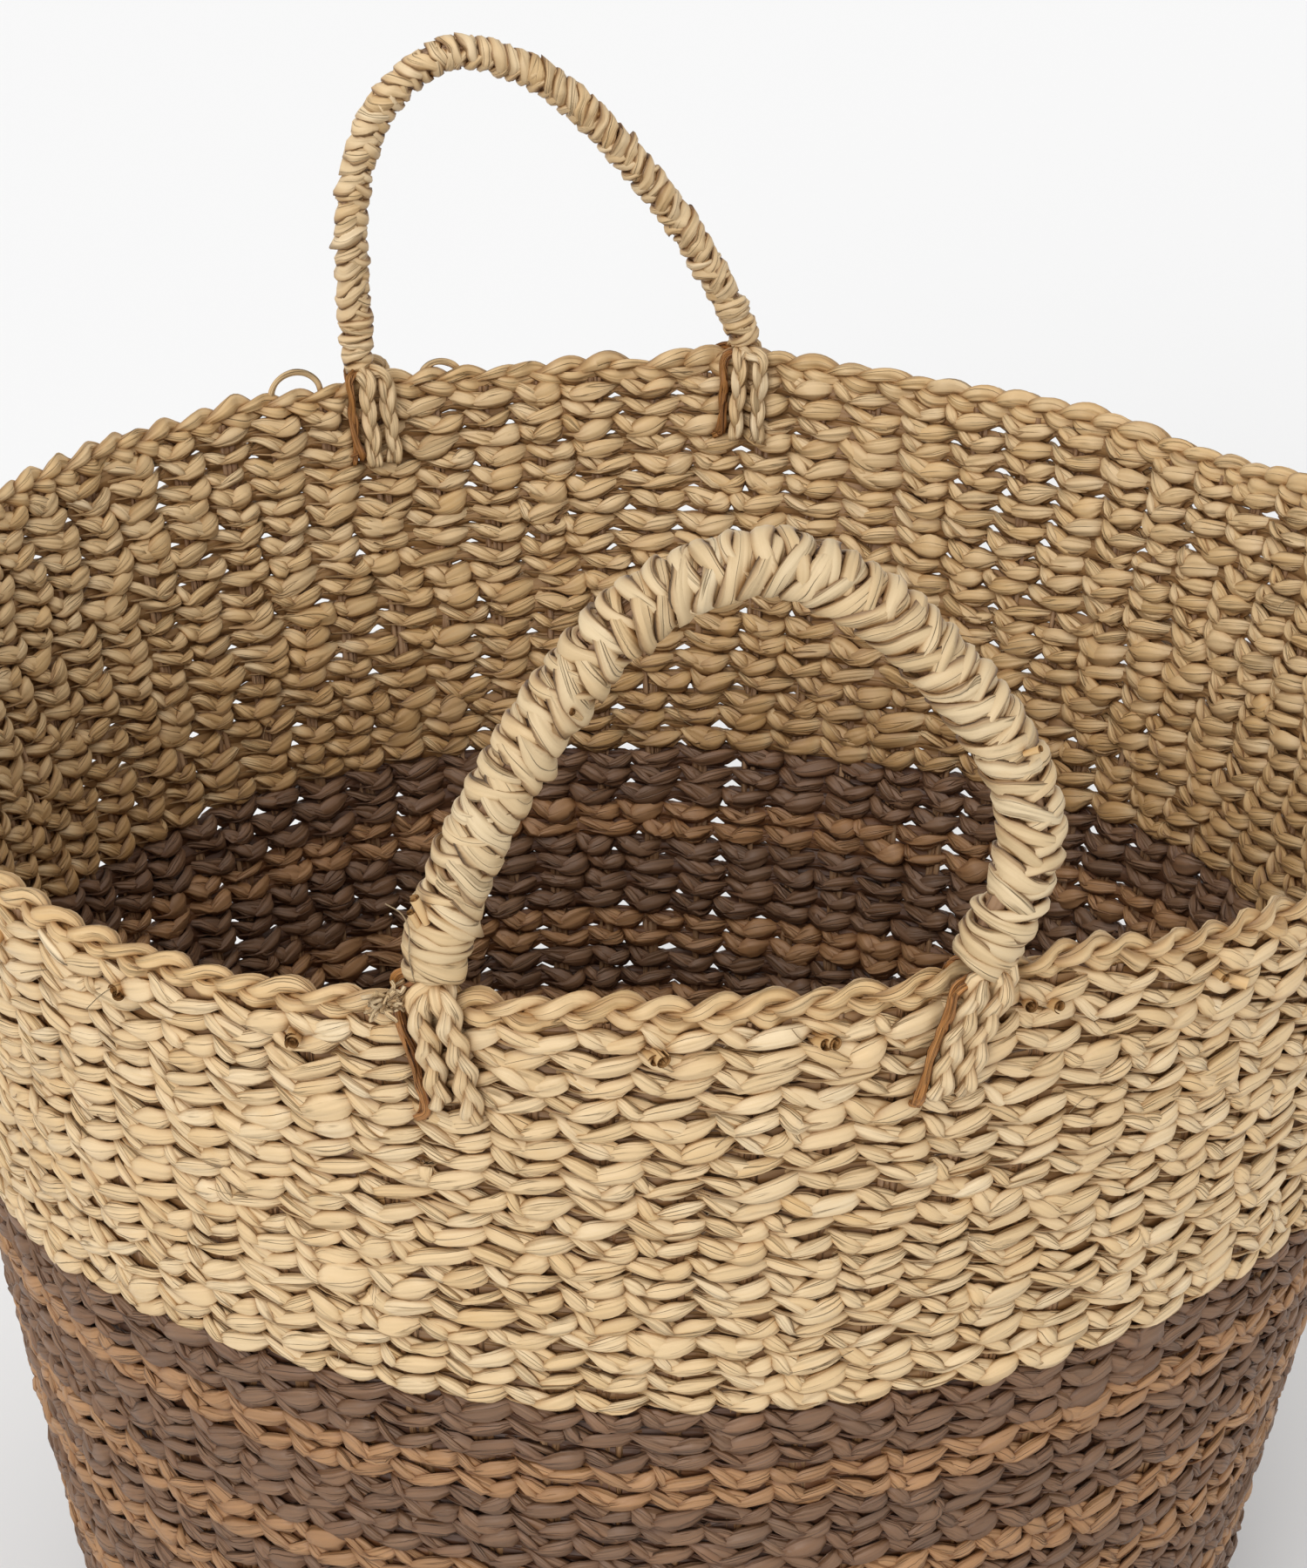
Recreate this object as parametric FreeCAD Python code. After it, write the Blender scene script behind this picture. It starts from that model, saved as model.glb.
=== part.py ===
"""Seagrass storage basket: a twined tapered tub with a plaited rim and two wrapped hoop handles.

Frame: +Z up, origin at the centre of the underside, front handle at -Y, back handle at +Y.
All lengths are millimetres and all angles are degrees.
"""
import FreeCAD
import Part
import math
import os

V = FreeCAD.Vector
AXIS_Z = V(0, 0, 1)
CENTRE = V(0, 0, 0)

# ---------------------------------------------------------------- driving dimensions
RIM_RADIUS = 280.0          # outside of the rim
HEIGHT = 400.0              # floor to rim top
TAPER = 0.2                 # radius gained per unit of height
WALL = 9.0                  # thickness of the twined wall
HEEL_RADIUS = 30.0          # outside radius of the rounded bottom edge
STAKES = 78                 # upright bundles that the rows are twined around
STAKE_RADIUS = 1.7
STAKE_CLEARANCE = 0.3       # the rows grip the stakes loosely
ROW_PITCH = 7.7             # height of one twined row
BASE_START_RADIUS = 62.0    # the small disc that the base is begun with

RIM_BRAID_HEIGHT = 10.0
RIM_BRAID_WIDTH = 11.0
BORDER_ROW_HEIGHT = 9.0     # the row under the braid that holds the turned-in stake ends
# curled leaf ends that stick out below the border row, in degrees from +X, clear of the handles' feet
CUT_END_ANGLES = (12, 27, 41, 54, 68, 86, 98, 119, 132, 147, 160, 174, 189,
                  201, 216, 229, 241, 264, 274, 288, 301, 313, 328, 342, 355)
CUT_END_RADIUS = 2.0
CUT_END_LENGTH = 8.0

HANDLE_TURN = 3.45          # both handles sit this far round the rim towards -X
HANDLE_OUT = 264.0          # from the axis to the upright plane that a handle stands in

# rows of each colour counted from the rim, top to bottom
BANDS = (
    ("upper_natural", 19.5),
    ("dark_band_1", 2.8),
    ("brown_stripe_1", 2.2),
    ("dark_band_2", 4.3),
    ("brown_stripe_2", 2.0),
    ("dark_band_3", 2.0),
    ("brown_stripe_3", 1.5),
    ("dark_band_4", 4.5),
    ("brown_stripe_4", 1.8),
)

# ---------------------------------------------------------------- worked-out values
SLOPE = math.atan(TAPER)
WALL_ACROSS = WALL / math.cos(SLOPE)        # wall thickness measured level
RIM_MID_RADIUS = RIM_RADIUS - RIM_BRAID_WIDTH / 2
HEEL_CENTRE_R = RIM_RADIUS - TAPER * (HEIGHT - HEEL_RADIUS) - HEEL_RADIUS / math.cos(SLOPE)
HEEL_TOP_Z = HEEL_RADIUS - HEEL_RADIUS * math.sin(SLOPE)
BRAID_BOTTOM = HEIGHT - RIM_BRAID_HEIGHT
BORDER_BOTTOM = BRAID_BOTTOM - BORDER_ROW_HEIGHT


def outer_radius(z):
    """Outside radius of the sloping wall at height z."""
    return RIM_RADIUS - TAPER * (HEIGHT - z)


def save(shape, name):
    """Write one sub-part and report it."""
    shape.exportStep("parts/%s.step" % name)
    print("%-30s solids %3d  volume %10.1f  valid %s"
          % (name, len(shape.Solids), shape.Volume, shape.isValid()))


def revolved(points):
    """Ring made by turning a closed outline of (radius, height) points about the axis."""
    corners = [V(r, 0, z) for r, z in points]
    outline = Part.makePolygon(corners + corners[:1])
    return Part.Face(outline).revolve(CENTRE, AXIS_Z, 360)


# ---------------------------------------------------------------- stakes
def heel_point(radius, degrees_up):
    """A point of an arc about the heel's centre, from straight down (0) towards the wall (90)."""
    a = math.radians(degrees_up)
    return V(HEEL_CENTRE_R + radius * math.sin(a), 0, HEEL_RADIUS - radius * math.cos(a))


def stake(radius, top_z, inner_r):
    """One upright: straight down the wall, round the heel and in along the base."""
    middle = HEEL_RADIUS - WALL / 2
    wall_angle = 90 - math.degrees(SLOPE)
    bottom = heel_point(middle, 0)
    bend_top = heel_point(middle, wall_angle)
    direction = V(math.sin(SLOPE), 0, math.cos(SLOPE))
    length = (top_z - bend_top.z) / math.cos(SLOPE)
    wall_run = Part.makeCylinder(radius, length, bend_top, direction)
    section = Part.Face(Part.Wire(Part.makeCircle(radius, bottom, V(1, 0, 0))))
    bend_axis_at = V(HEEL_CENTRE_R, 0, HEEL_RADIUS)
    bend = section.revolve(bend_axis_at, V(0, -1, 0), wall_angle)
    base_run = Part.makeCylinder(radius, bottom.x - inner_r, V(inner_r, 0, bottom.z), V(1, 0, 0))
    return wall_run.fuse([bend, base_run]).removeSplitter()


def at_angles(shape, degrees):
    """Copies of a shape turned about the axis by each of these angles."""
    copies = []
    for angle in degrees:
        copy = shape.copy()
        copy.rotate(CENTRE, AXIS_Z, angle)
        copies.append(copy)
    return Part.makeCompound(copies)


def around(shape, count):
    """Copies of a shape spaced evenly about the axis."""
    return at_angles(shape, [360.0 * i / count for i in range(count)])


STAKE_TOP = BRAID_BOTTOM - 1.0
STAKE_INNER = BASE_START_RADIUS + 1.0
stakes = around(stake(STAKE_RADIUS, STAKE_TOP, STAKE_INNER), STAKES)


def straight_channels(z_low, z_high):
    """Clearance for the stakes' straight runs between two heights."""
    middle_r = outer_radius(z_low) - WALL_ACROSS / 2
    direction = V(math.sin(SLOPE), 0, math.cos(SLOPE))
    margin = 5.0
    start = V(middle_r, 0, z_low) - direction * margin
    length = (z_high - z_low) / math.cos(SLOPE) + 2 * margin
    channel = Part.makeCylinder(STAKE_RADIUS + STAKE_CLEARANCE, length, start, direction)
    return around(channel, STAKES)


# ---------------------------------------------------------------- wall, heel and base
def wall_ring(z_low, z_high):
    """One level stretch of the sloping wall."""
    low = outer_radius(z_low)
    high = outer_radius(z_high)
    return revolved([(low - WALL_ACROSS, z_low), (low, z_low),
                     (high, z_high), (high - WALL_ACROSS, z_high)])


def woven_band(z_low, z_high):
    """A band of twined rows with the stakes' channels through it."""
    return wall_ring(z_low, z_high).cut(straight_channels(z_low, z_high))


def heel_ring():
    """The rounded bottom edge between the wall and the flat base."""
    wall_angle = 90 - math.degrees(SLOPE)
    outer = [heel_point(HEEL_RADIUS, a) for a in (0, wall_angle / 2, wall_angle)]
    inner_radius = HEEL_RADIUS - WALL
    inner = [heel_point(inner_radius, a) for a in (0, wall_angle / 2, wall_angle)]
    edges = [
        Part.Arc(outer[0], outer[1], outer[2]).toShape(),
        Part.makeLine(outer[2], inner[2]),
        Part.Arc(inner[2], inner[1], inner[0]).toShape(),
        Part.makeLine(inner[0], outer[0]),
    ]
    return Part.Face(Part.Wire(edges)).revolve(CENTRE, AXIS_Z, 360)


def heel_collar(z_high):
    """Closes the gap between the heel's slanted top and the first level band."""
    top = heel_point(HEEL_RADIUS, 90 - math.degrees(SLOPE))
    inner_top = heel_point(HEEL_RADIUS - WALL, 90 - math.degrees(SLOPE))
    high = outer_radius(z_high)
    return revolved([(inner_top.x, inner_top.z), (top.x, top.z),
                     (high, z_high), (high - WALL_ACROSS, z_high)])


HEEL_BAND_TOP = HEEL_TOP_Z + 12.0
stake_channels = around(
    stake(STAKE_RADIUS + STAKE_CLEARANCE, HEEL_BAND_TOP + 10.0, STAKE_INNER - 1.0), STAKES)
heel = heel_ring().fuse(heel_collar(HEEL_BAND_TOP)).removeSplitter().cut(stake_channels)
base_ring = revolved([(BASE_START_RADIUS, 0), (HEEL_CENTRE_R, 0),
                      (HEEL_CENTRE_R, WALL), (BASE_START_RADIUS, WALL)])
base_spoke_channel = Part.makeCylinder(STAKE_RADIUS + STAKE_CLEARANCE, HEEL_CENTRE_R,
                                       V(BASE_START_RADIUS - 5, 0, WALL / 2), V(1, 0, 0))
base_rows = base_ring.cut(around(base_spoke_channel, STAKES))
base_start = Part.makeCylinder(BASE_START_RADIUS, WALL)

# ---------------------------------------------------------------- rim
braid_section = Part.Ellipse(V(RIM_MID_RADIUS, 0, HEIGHT - RIM_BRAID_HEIGHT / 2),
                             RIM_BRAID_WIDTH / 2, RIM_BRAID_HEIGHT / 2)
braid_edge = braid_section.toShape()
braid_edge.rotate(V(RIM_MID_RADIUS, 0, HEIGHT - RIM_BRAID_HEIGHT / 2), V(1, 0, 0), 90)
rim_braid = Part.Face(Part.Wire(braid_edge)).revolve(CENTRE, AXIS_Z, 360)
border_row = woven_band(BORDER_BOTTOM, BRAID_BOTTOM)


def cut_end():
    """A short curled leaf end lying on the outside of the wall, just below the border row."""
    z = BORDER_BOTTOM - CUT_END_RADIUS - 1.6
    r = outer_radius(z) + CUT_END_RADIUS + 0.6
    start = V(r, -CUT_END_LENGTH / 2, z)
    return Part.makeCylinder(CUT_END_RADIUS, CUT_END_LENGTH, start, V(0, 1, 0.35))


cut_ends = at_angles(cut_end(), CUT_END_ANGLES)


# ---------------------------------------------------------------- rods along bent routes
def rod(points, radius):
    """A round rod whose straight runs are joined by the largest tangent arcs that fit."""
    edges = []
    at = points[0]
    for before, corner, after in zip(points, points[1:], points[2:]):
        back = (before - corner)
        ahead = (after - corner)
        trim = 0.45 * min(back.Length, ahead.Length)
        back.normalize()
        ahead.normalize()
        half_turn = (math.pi - back.getAngle(ahead)) / 2
        bend = trim / math.tan(half_turn)
        arc_in = corner + back * trim
        arc_out = corner + ahead * trim
        to_centre = (back + ahead).normalize() * math.hypot(bend, trim)
        centre = corner + to_centre
        arc_mid = centre + (corner - centre).normalize() * bend
        edges.append(Part.LineSegment(at, arc_in).toShape())
        edges.append(Part.Arc(arc_in, arc_mid, arc_out).toShape())
        at = arc_out
    edges.append(Part.LineSegment(at, points[-1]).toShape())
    path = Part.Wire(edges)
    start_direction = (points[1] - points[0]).normalize()
    ring = Part.Wire(Part.makeCircle(radius, points[0], start_direction))
    solid = path.makePipeShell([ring], True, False)
    if solid.Volume < 0:
        solid.reverse()
    return solid


# ---------------------------------------------------------------- handles
# Each handle stands in the upright plane through its two leg pivots. Its hoop is a list of
# (distance along that plane, height above the rim top) from the left pivot to the right one.
FRONT_PIVOT_HEIGHT = 11.5
FRONT_HOOP = ((-75.5, FRONT_PIVOT_HEIGHT), (-66, 42), (-45, 80), (-17, 118), (21, 135),
              (58, 115), (86, 82), (96, 48), (81.5, FRONT_PIVOT_HEIGHT))
BACK_PIVOT_HEIGHT = 8.5
BACK_HOOP = ((-78, BACK_PIVOT_HEIGHT), (-79.5, 45), (-78, 82), (-66, 114), (-37, 134),
             (-5, 122), (22, 95), (47, 62), (66, 32), (76, BACK_PIVOT_HEIGHT))


class Handle:
    """Sizes of one hoop handle and the side of the basket that it stands on."""

    def __init__(self, name, side, hoop, core_radius, wrap_radius, cuff_radius, cuff_height):
        self.name = name
        self.side = side            # -1 front, +1 back
        self.hoop = hoop
        self.core_radius = core_radius
        self.wrap_radius = wrap_radius
        self.cuff_radius = cuff_radius
        self.cuff_height = cuff_height
        turn = math.radians(HANDLE_TURN)
        self.outward = V(-math.sin(turn), side * math.cos(turn), 0)
        self.along = V(math.cos(turn), side * math.sin(turn), 0)

    def point(self, along, outward, above_rim):
        """A point from distances along the handle, out from the axis and above the rim top."""
        return self.along * along + self.outward * outward + V(0, 0, HEIGHT + above_rim)

    def route(self):
        return [self.point(along, HANDLE_OUT, above_rim) for along, above_rim in self.hoop]


FRONT = Handle("front_handle", -1, FRONT_HOOP, 6.0, 9.5, 10.5, 22.0)
BACK = Handle("back_handle", 1, BACK_HOOP, 3.6, 6.2, 7.0, 14.0)


def cuff(handle, pivot, next_point):
    """The thicker binding at a leg's foot: a round-ended sleeve turning about the pivot."""
    direction = (next_point - pivot).normalize()
    ball = Part.makeSphere(handle.cuff_radius, pivot)
    sleeve = Part.makeCylinder(handle.cuff_radius, handle.cuff_height, pivot, direction)
    bore = Part.makeCylinder(handle.core_radius + 0.2, 2 * handle.cuff_height, pivot, direction)
    return sleeve.fuse(ball).removeSplitter().cut(bore)


def build_handle(handle):
    """Core bundle, spiral wrap and two foot cuffs of one handle."""
    route = handle.route()
    core = rod(route, handle.core_radius)
    wrap = rod(route, handle.wrap_radius).cut(rod(route, handle.core_radius + 0.1))
    ends = (("left", route[0], route[1]), ("right", route[-1], route[-2]))
    for side_name, pivot, next_point in ends:
        direction = (next_point - pivot).normalize()
        clearance = Part.makeCylinder(handle.cuff_radius + 5, handle.cuff_height + 15,
                                      pivot - direction * 15, direction)
        wrap = wrap.cut(clearance)
        save(cuff(handle, pivot, next_point), "%s_%s_cuff" % (handle.name, side_name))
    save(core, handle.name + "_core")
    save(wrap, handle.name + "_wrap")


# ---------------------------------------------------------------- cords at the handles' feet
PLAIT_RADIUS = 2.7
FIBRE_RADIUS = 1.2
CORD_TO_WALL = 0.25


def foot_cord(handle, outside, radius, along_top, along_bottom, depth):
    """A cord from the handle's foot, over the rim and down one face of the wall.

    along_top and along_bottom are distances from the handle's middle, depth is measured down
    from the rim top. The cord follows the curve of the wall between its points.
    """
    face = 1 if outside else -1

    def at(share, above_rim, lift):
        along = along_top + (along_bottom - along_top) * share
        level = max(-above_rim, 0.0)
        if outside:
            face_radius = RIM_RADIUS - TAPER * level
        else:
            face_radius = RIM_RADIUS - TAPER * level - max(WALL_ACROSS, RIM_BRAID_WIDTH)
        r = face_radius + face * (radius / math.cos(SLOPE) + CORD_TO_WALL + lift)
        return handle.point(along, math.sqrt(r * r - along * along), above_rim)

    return rod([at(0.0, 1.0, 0.8), at(0.2, -8.0, 1.3), at(0.6, -0.55 * depth, 0.4),
                at(1.0, -depth, 0.0)], radius)


# leg: (name, plaits as (along_top, along_bottom, depth), fibre tie as the same)
FRONT_LEGS = (
    ("left", ((-79.5, -73.5, 33.0), (-71.5, -64.0, 37.0)), (-85.5, -80.0, 38.0)),
    ("right", ((80.0, 69.5, 34.0), (87.5, 77.0, 34.0)), (74.0, 64.0, 37.0)),
)
BACK_LEGS = (
    ("left", ((-76.0, -73.5, 30.0), (-68.5, -65.5, 29.0)), (-82.0, -80.0, 27.0)),
    ("right", ((71.0, 69.0, 27.0), (78.5, 77.0, 28.0)), (65.5, 63.0, 26.0)),
)


def build_foot_cords(handle, legs):
    """Two plaits on each face of the wall and one brown fibre tie on each face, per leg."""
    for leg, plaits, tie in legs:
        for face_name, outside in (("outer", True), ("inner", False)):
            for number, (top, bottom, depth) in enumerate(plaits, start=1):
                shape = foot_cord(handle, outside, PLAIT_RADIUS, top, bottom, depth)
                save(shape, "%s_%s_%s_plait_%d" % (handle.name[:-7], leg, face_name, number))
        ties = [foot_cord(handle, outside, FIBRE_RADIUS, tie[0], tie[1], tie[2])
                for outside in (True, False)]
        save(Part.makeCompound(ties), "%s_%s_fibre_tie" % (handle.name[:-7], leg))


# ---------------------------------------------------------------- write everything
os.makedirs("parts", exist_ok=True)
save(stakes, "warp_stakes")
save(base_start, "base_start_disc")
save(base_rows, "base_rows")
save(heel, "heel_rows")

band_top = BORDER_BOTTOM
row_line = HEIGHT
for band_name, rows in BANDS:
    row_line -= rows * ROW_PITCH
    save(woven_band(row_line, band_top), band_name)
    band_top = row_line
save(woven_band(HEEL_BAND_TOP, band_top), "dark_band_5")

save(border_row, "border_row")
save(rim_braid, "rim_braid")
save(cut_ends, "cut_leaf_ends")
for each in (FRONT, BACK):
    build_handle(each)
build_foot_cords(FRONT, FRONT_LEGS)
build_foot_cords(BACK, BACK_LEGS)
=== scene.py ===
"""Seagrass storage basket: every twined row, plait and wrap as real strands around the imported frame.

Lengths are metres. Angles round the basket are radians from the front (-Y), growing towards +X.
"""
import bpy
import math
import numpy as np
from mathutils import Matrix, Vector


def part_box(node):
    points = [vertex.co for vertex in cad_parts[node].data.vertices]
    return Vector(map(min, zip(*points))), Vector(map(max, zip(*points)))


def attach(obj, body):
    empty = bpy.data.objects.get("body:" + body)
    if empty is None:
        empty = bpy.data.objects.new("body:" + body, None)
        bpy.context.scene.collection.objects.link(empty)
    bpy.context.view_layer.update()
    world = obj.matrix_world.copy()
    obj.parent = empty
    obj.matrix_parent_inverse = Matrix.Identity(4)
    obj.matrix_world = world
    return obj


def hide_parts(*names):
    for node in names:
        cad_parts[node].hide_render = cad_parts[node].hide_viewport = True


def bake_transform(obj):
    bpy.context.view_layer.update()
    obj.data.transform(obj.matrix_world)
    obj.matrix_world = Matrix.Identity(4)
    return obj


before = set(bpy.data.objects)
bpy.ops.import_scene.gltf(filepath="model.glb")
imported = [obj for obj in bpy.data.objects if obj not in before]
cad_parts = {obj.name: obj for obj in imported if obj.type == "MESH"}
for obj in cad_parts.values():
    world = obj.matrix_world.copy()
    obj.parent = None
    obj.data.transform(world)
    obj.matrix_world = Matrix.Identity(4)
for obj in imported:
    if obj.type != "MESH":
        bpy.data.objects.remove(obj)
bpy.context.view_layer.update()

MM = 0.001
TURN = 2 * math.pi

# ---------- driving dimensions
RIM_LOW, RIM_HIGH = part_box("rim_braid")
RIM_RADIUS = RIM_HIGH[0]
HEIGHT = RIM_HIGH[2]
BRAID_HEIGHT = RIM_HIGH[2] - RIM_LOW[2]
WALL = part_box("base_start_disc")[1][2]
UPPER_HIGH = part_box("upper_natural")[1]
BORDER_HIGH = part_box("border_row")[1]
TAPER = (BORDER_HIGH[0] - UPPER_HIGH[0]) / (BORDER_HIGH[2] - UPPER_HIGH[2])
SLOPE = math.atan(TAPER)
HEEL_RADIUS = 30 * MM
START_DISC_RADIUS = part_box("base_start_disc")[1][0]
ROW_PITCH = 7.7 * MM
STAKES = 78
LEAF_GIRTH = 14 * MM        # the distance round one leaf of the weave and the plaits

# the wall's middle surface: a straight slope, an arc round the heel, then flat to the centre
MID_TOP = RIM_RADIUS - WALL / 2 / math.cos(SLOPE)
HEEL_MID = HEEL_RADIUS - WALL / 2
HEEL_CENTRE = RIM_RADIUS - TAPER * (HEIGHT - HEEL_RADIUS) - HEEL_RADIUS / math.cos(SLOPE)
HEEL_TOP_Z = HEEL_RADIUS - HEEL_MID * math.sin(SLOPE)
WALL_RUN = (HEIGHT - HEEL_TOP_Z) / math.cos(SLOPE)
HEEL_ANGLE = math.pi / 2 - SLOPE
HEEL_RUN = HEEL_MID * HEEL_ANGLE
FULL_RUN = WALL_RUN + HEEL_RUN + HEEL_CENTRE


def profile(s):
    """Radius, height and outward normal (radial, vertical) of the middle surface.

    s is the distance along the surface from the rim top, down the wall and in along the base.
    """
    s = np.asarray(s, float)
    on_wall = s < WALL_RUN
    on_base = s > WALL_RUN + HEEL_RUN
    turned = np.clip((s - WALL_RUN) / HEEL_MID, 0, HEEL_ANGLE)
    lean = -SLOPE - turned
    wall_r = MID_TOP - s * math.sin(SLOPE)
    wall_z = HEIGHT - s * math.cos(SLOPE)
    heel_r = HEEL_CENTRE + HEEL_MID * np.cos(lean)
    heel_z = HEEL_RADIUS + HEEL_MID * np.sin(lean)
    base_r = HEEL_CENTRE - (s - WALL_RUN - HEEL_RUN)
    r = np.where(on_wall, wall_r, np.where(on_base, base_r, heel_r))
    z = np.where(on_wall, wall_z, np.where(on_base, WALL / 2, heel_z))
    return r, z, np.cos(lean), np.sin(lean)


# ---------- gentle irregularity
RIPPLE_TERMS = 9
RIM_WAVE_REACH = 160 * MM   # how far down the wall the rim's rises and dips still show
RIM_WAVE_FADE = 1.5

# (bearing and half width in degrees, rise in millimetres) of each bump of the rim
RIM_BUMPS = ((-35, 12, -4.5), (19, 9, 5.0), (-8, 9, -1.0), (34, 8, 1.5), (75, 20, -3.0), (118, 16, 2.5),
             (165, 9, 1.6), (188, 7, -1.5), (204, 8, 2.0), (238, 18, -2.5), (285, 18, 3.0))

# (seed, most waves in a turn, shortest wave down the wall, size) of how rows rise and how the wall bulges
FINE_RISE = (11, 16, 90 * MM, 0.9 * MM)
SLOW_RISE = (12, 5, 300 * MM, 1.3 * MM)
BULGE = (13, 4, 500 * MM, 1.3 * MM)
STRAIGHT_FOOT = 60 * MM     # the stretch of wall above the heel over which that irregularity dies out


def ripple(theta, s, seed, turns, run):
    """A smooth wandering number of about unit size over the wall, repeatable from its seed."""
    draw = np.random.default_rng(seed)
    total = 0
    for _ in range(RIPPLE_TERMS):
        k = draw.integers(1, turns + 1)
        w = draw.uniform(-1, 1) * TURN / run
        total = total + draw.uniform(0.5, 1) * np.cos(k * theta + w * s + draw.uniform(0, TURN))
    return total / math.sqrt(RIPPLE_TERMS * 0.3)


def rim_wave(theta):
    """How far the rim rises above its mean level, as the hand-made top edge does."""
    total = 0
    for centre, width, rise in RIM_BUMPS:
        away = np.angle(np.exp(1j * (theta - math.radians(centre))))
        total = total + rise * MM * np.exp(-(away / math.radians(width)) ** 2)
    return total


def surface(theta, s, out=0.0, up=0.0):
    """A point of the basket: out from the middle surface and up along it, with its hand-made wobble."""
    s = np.asarray(s, float)
    fade = np.clip(1 - s / RIM_WAVE_REACH, 0, 1) ** RIM_WAVE_FADE
    settled = np.clip((WALL_RUN - s) / STRAIGHT_FOOT, 0, 1)
    shift = rim_wave(theta) * fade
    for *wave, size in (FINE_RISE, SLOW_RISE):
        shift = shift + ripple(theta, s, *wave) * size * settled
    *wave, size = BULGE
    bulge = ripple(theta, s, *wave) * size * settled
    r, z, nr, nz = profile(s - up - shift)
    r = r + nr * (out + bulge)
    z = z + nz * (out + bulge)
    return np.stack([r * np.sin(theta), -r * np.cos(theta), z], -1)


def surface_frame(theta, s):
    """Unit outward and upward directions of the middle surface."""
    nr, nz = profile(s)[2:]
    outward = np.stack([nr * np.sin(theta), -nr * np.cos(theta), nz + 0 * theta], -1)
    upward = np.stack([-nz * np.sin(theta), nz * np.cos(theta), nr + 0 * theta], -1)
    return outward, upward


# ---------- mesh building
def unit(v):
    return v / np.maximum(np.linalg.norm(v, axis=-1, keepdims=True), 1e-12)


class Bundle:
    """Collects grids of points, such as strands, and turns them into one mesh object.

    look holds three numbers: the tone from deep to light, the tint towards warm, and the painted shade.
    """

    def __init__(self, name):
        self.name = name
        self.points = []
        self.fibre = []
        self.look = []
        self.quads = []
        self.uvs = []
        self.count = 0

    def grid(self, points, look, along, around, closed_along=False):
        """Add a tube of n rings of m points, with its look per ring or per point.

        along is each ring's distance down the strand and around the strand's girth, both in metres.
        """
        n, m = points.shape[:2]
        self.points.append(points.reshape(-1, 3))
        self.look.append(look.reshape(-1, 3) if look.ndim == 3 else np.repeat(look, m, axis=0))
        rows = n if closed_along else n - 1
        turn = TURN * np.arange(m) / m
        ends = np.append(along, 2 * along[-1] - along[-2])
        fibre = np.empty((n + 1, m, 3))
        fibre[..., 0] = ends[:, None]
        fibre[..., 1] = np.cos(turn) * around / TURN
        fibre[..., 2] = np.sin(turn) * around / TURN + len(self.points) * 0.05
        i, j = np.meshgrid(np.arange(rows), np.arange(m), indexing="ij")
        next_i = (i + 1) % n
        next_j = (j + 1) % m
        quad = np.stack([i * m + j, i * m + next_j, next_i * m + next_j, next_i * m + j], -1)
        self.quads.append(quad.reshape(-1, 4) + self.count)
        corners = [fibre[i, j], fibre[i, next_j], fibre[i + 1, next_j], fibre[i + 1, j]]
        self.fibre.append(np.stack(corners, 2).reshape(-1, 3))
        steps = ((i, j), (i, j + 1), (i + 1, j + 1), (i + 1, j))
        uv = np.stack([np.stack([a / rows, b / m], -1) for a, b in steps], 2)
        self.uvs.append((uv.reshape(-1, 4, 2), rows * m))
        self.count += n * m

    def build(self, material):
        """The finished object, with its strands laid out as strips for a texture bake."""
        points = np.concatenate(self.points)
        quads = np.concatenate(self.quads)
        me = bpy.data.meshes.new(self.name)
        me.vertices.add(len(points))
        me.vertices.foreach_set("co", points.astype(np.float32).ravel())
        me.loops.add(quads.size)
        me.loops.foreach_set("vertex_index", quads.astype(np.int32).ravel())
        me.polygons.add(len(quads))
        me.polygons.foreach_set("loop_start", np.arange(0, quads.size, 4, dtype=np.int32))
        me.polygons.foreach_set("loop_total", np.full(len(quads), 4, dtype=np.int32))
        me.polygons.foreach_set("use_smooth", np.ones(len(quads), dtype=bool))
        me.update(calc_edges=True)
        self.add_vectors(me, "fibre", "CORNER", np.concatenate(self.fibre))
        self.add_vectors(me, "look", "POINT", np.concatenate(self.look))
        self.add_strips(me)
        me.materials.append(material)
        ob = bpy.data.objects.new(self.name, me)
        bpy.context.scene.collection.objects.link(ob)
        return ob

    def add_vectors(self, me, name, domain, values):
        attribute = me.attributes.new(name, "FLOAT_VECTOR", domain)
        attribute.data.foreach_set("vector", values.astype(np.float32).ravel())

    def add_strips(self, me):
        """Lay each tube as one strip of the bake's UV square, as tall as its share of the faces."""
        total = sum(size for _, size in self.uvs)
        gap = 0.1
        bottom = 0.0
        strips = []
        for uv, size in self.uvs:
            tall = size / total
            strip = uv.copy()
            strip[..., 1] = bottom + tall * (gap / 2 + (1 - gap) * strip[..., 1])
            bottom += tall
            strips.append(strip)
        layer = me.uv_layers.new(name="OFBake")
        layer.data.foreach_set("uv", np.concatenate(strips).astype(np.float32).ravel())


def loop_tangent(centre):
    """Unit directions along a closed line of points."""
    return unit(np.roll(centre, -1, 0) - np.roll(centre, 1, 0))


def crosswise(outward, tangent):
    """The unit direction closest to outward that is square to the tangent."""
    return unit(outward - tangent * np.sum(outward * tangent, -1, keepdims=True))


def ring_points(centre, side, up, wide, tall, ridges, twist):
    """Cross-sections along a strand: ellipses in the plane of side and up, with ridges and twist."""
    m = ridges.shape[1]
    phi = TURN * np.arange(m)[None, :] / m + twist[:, None]
    a = (wide[:, None] * np.cos(phi) * ridges)[..., None]
    b = (tall[:, None] * np.sin(phi) * ridges)[..., None]
    return centre[:, None, :] + a * side[:, None, :] + b * up[:, None, :]


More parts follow.
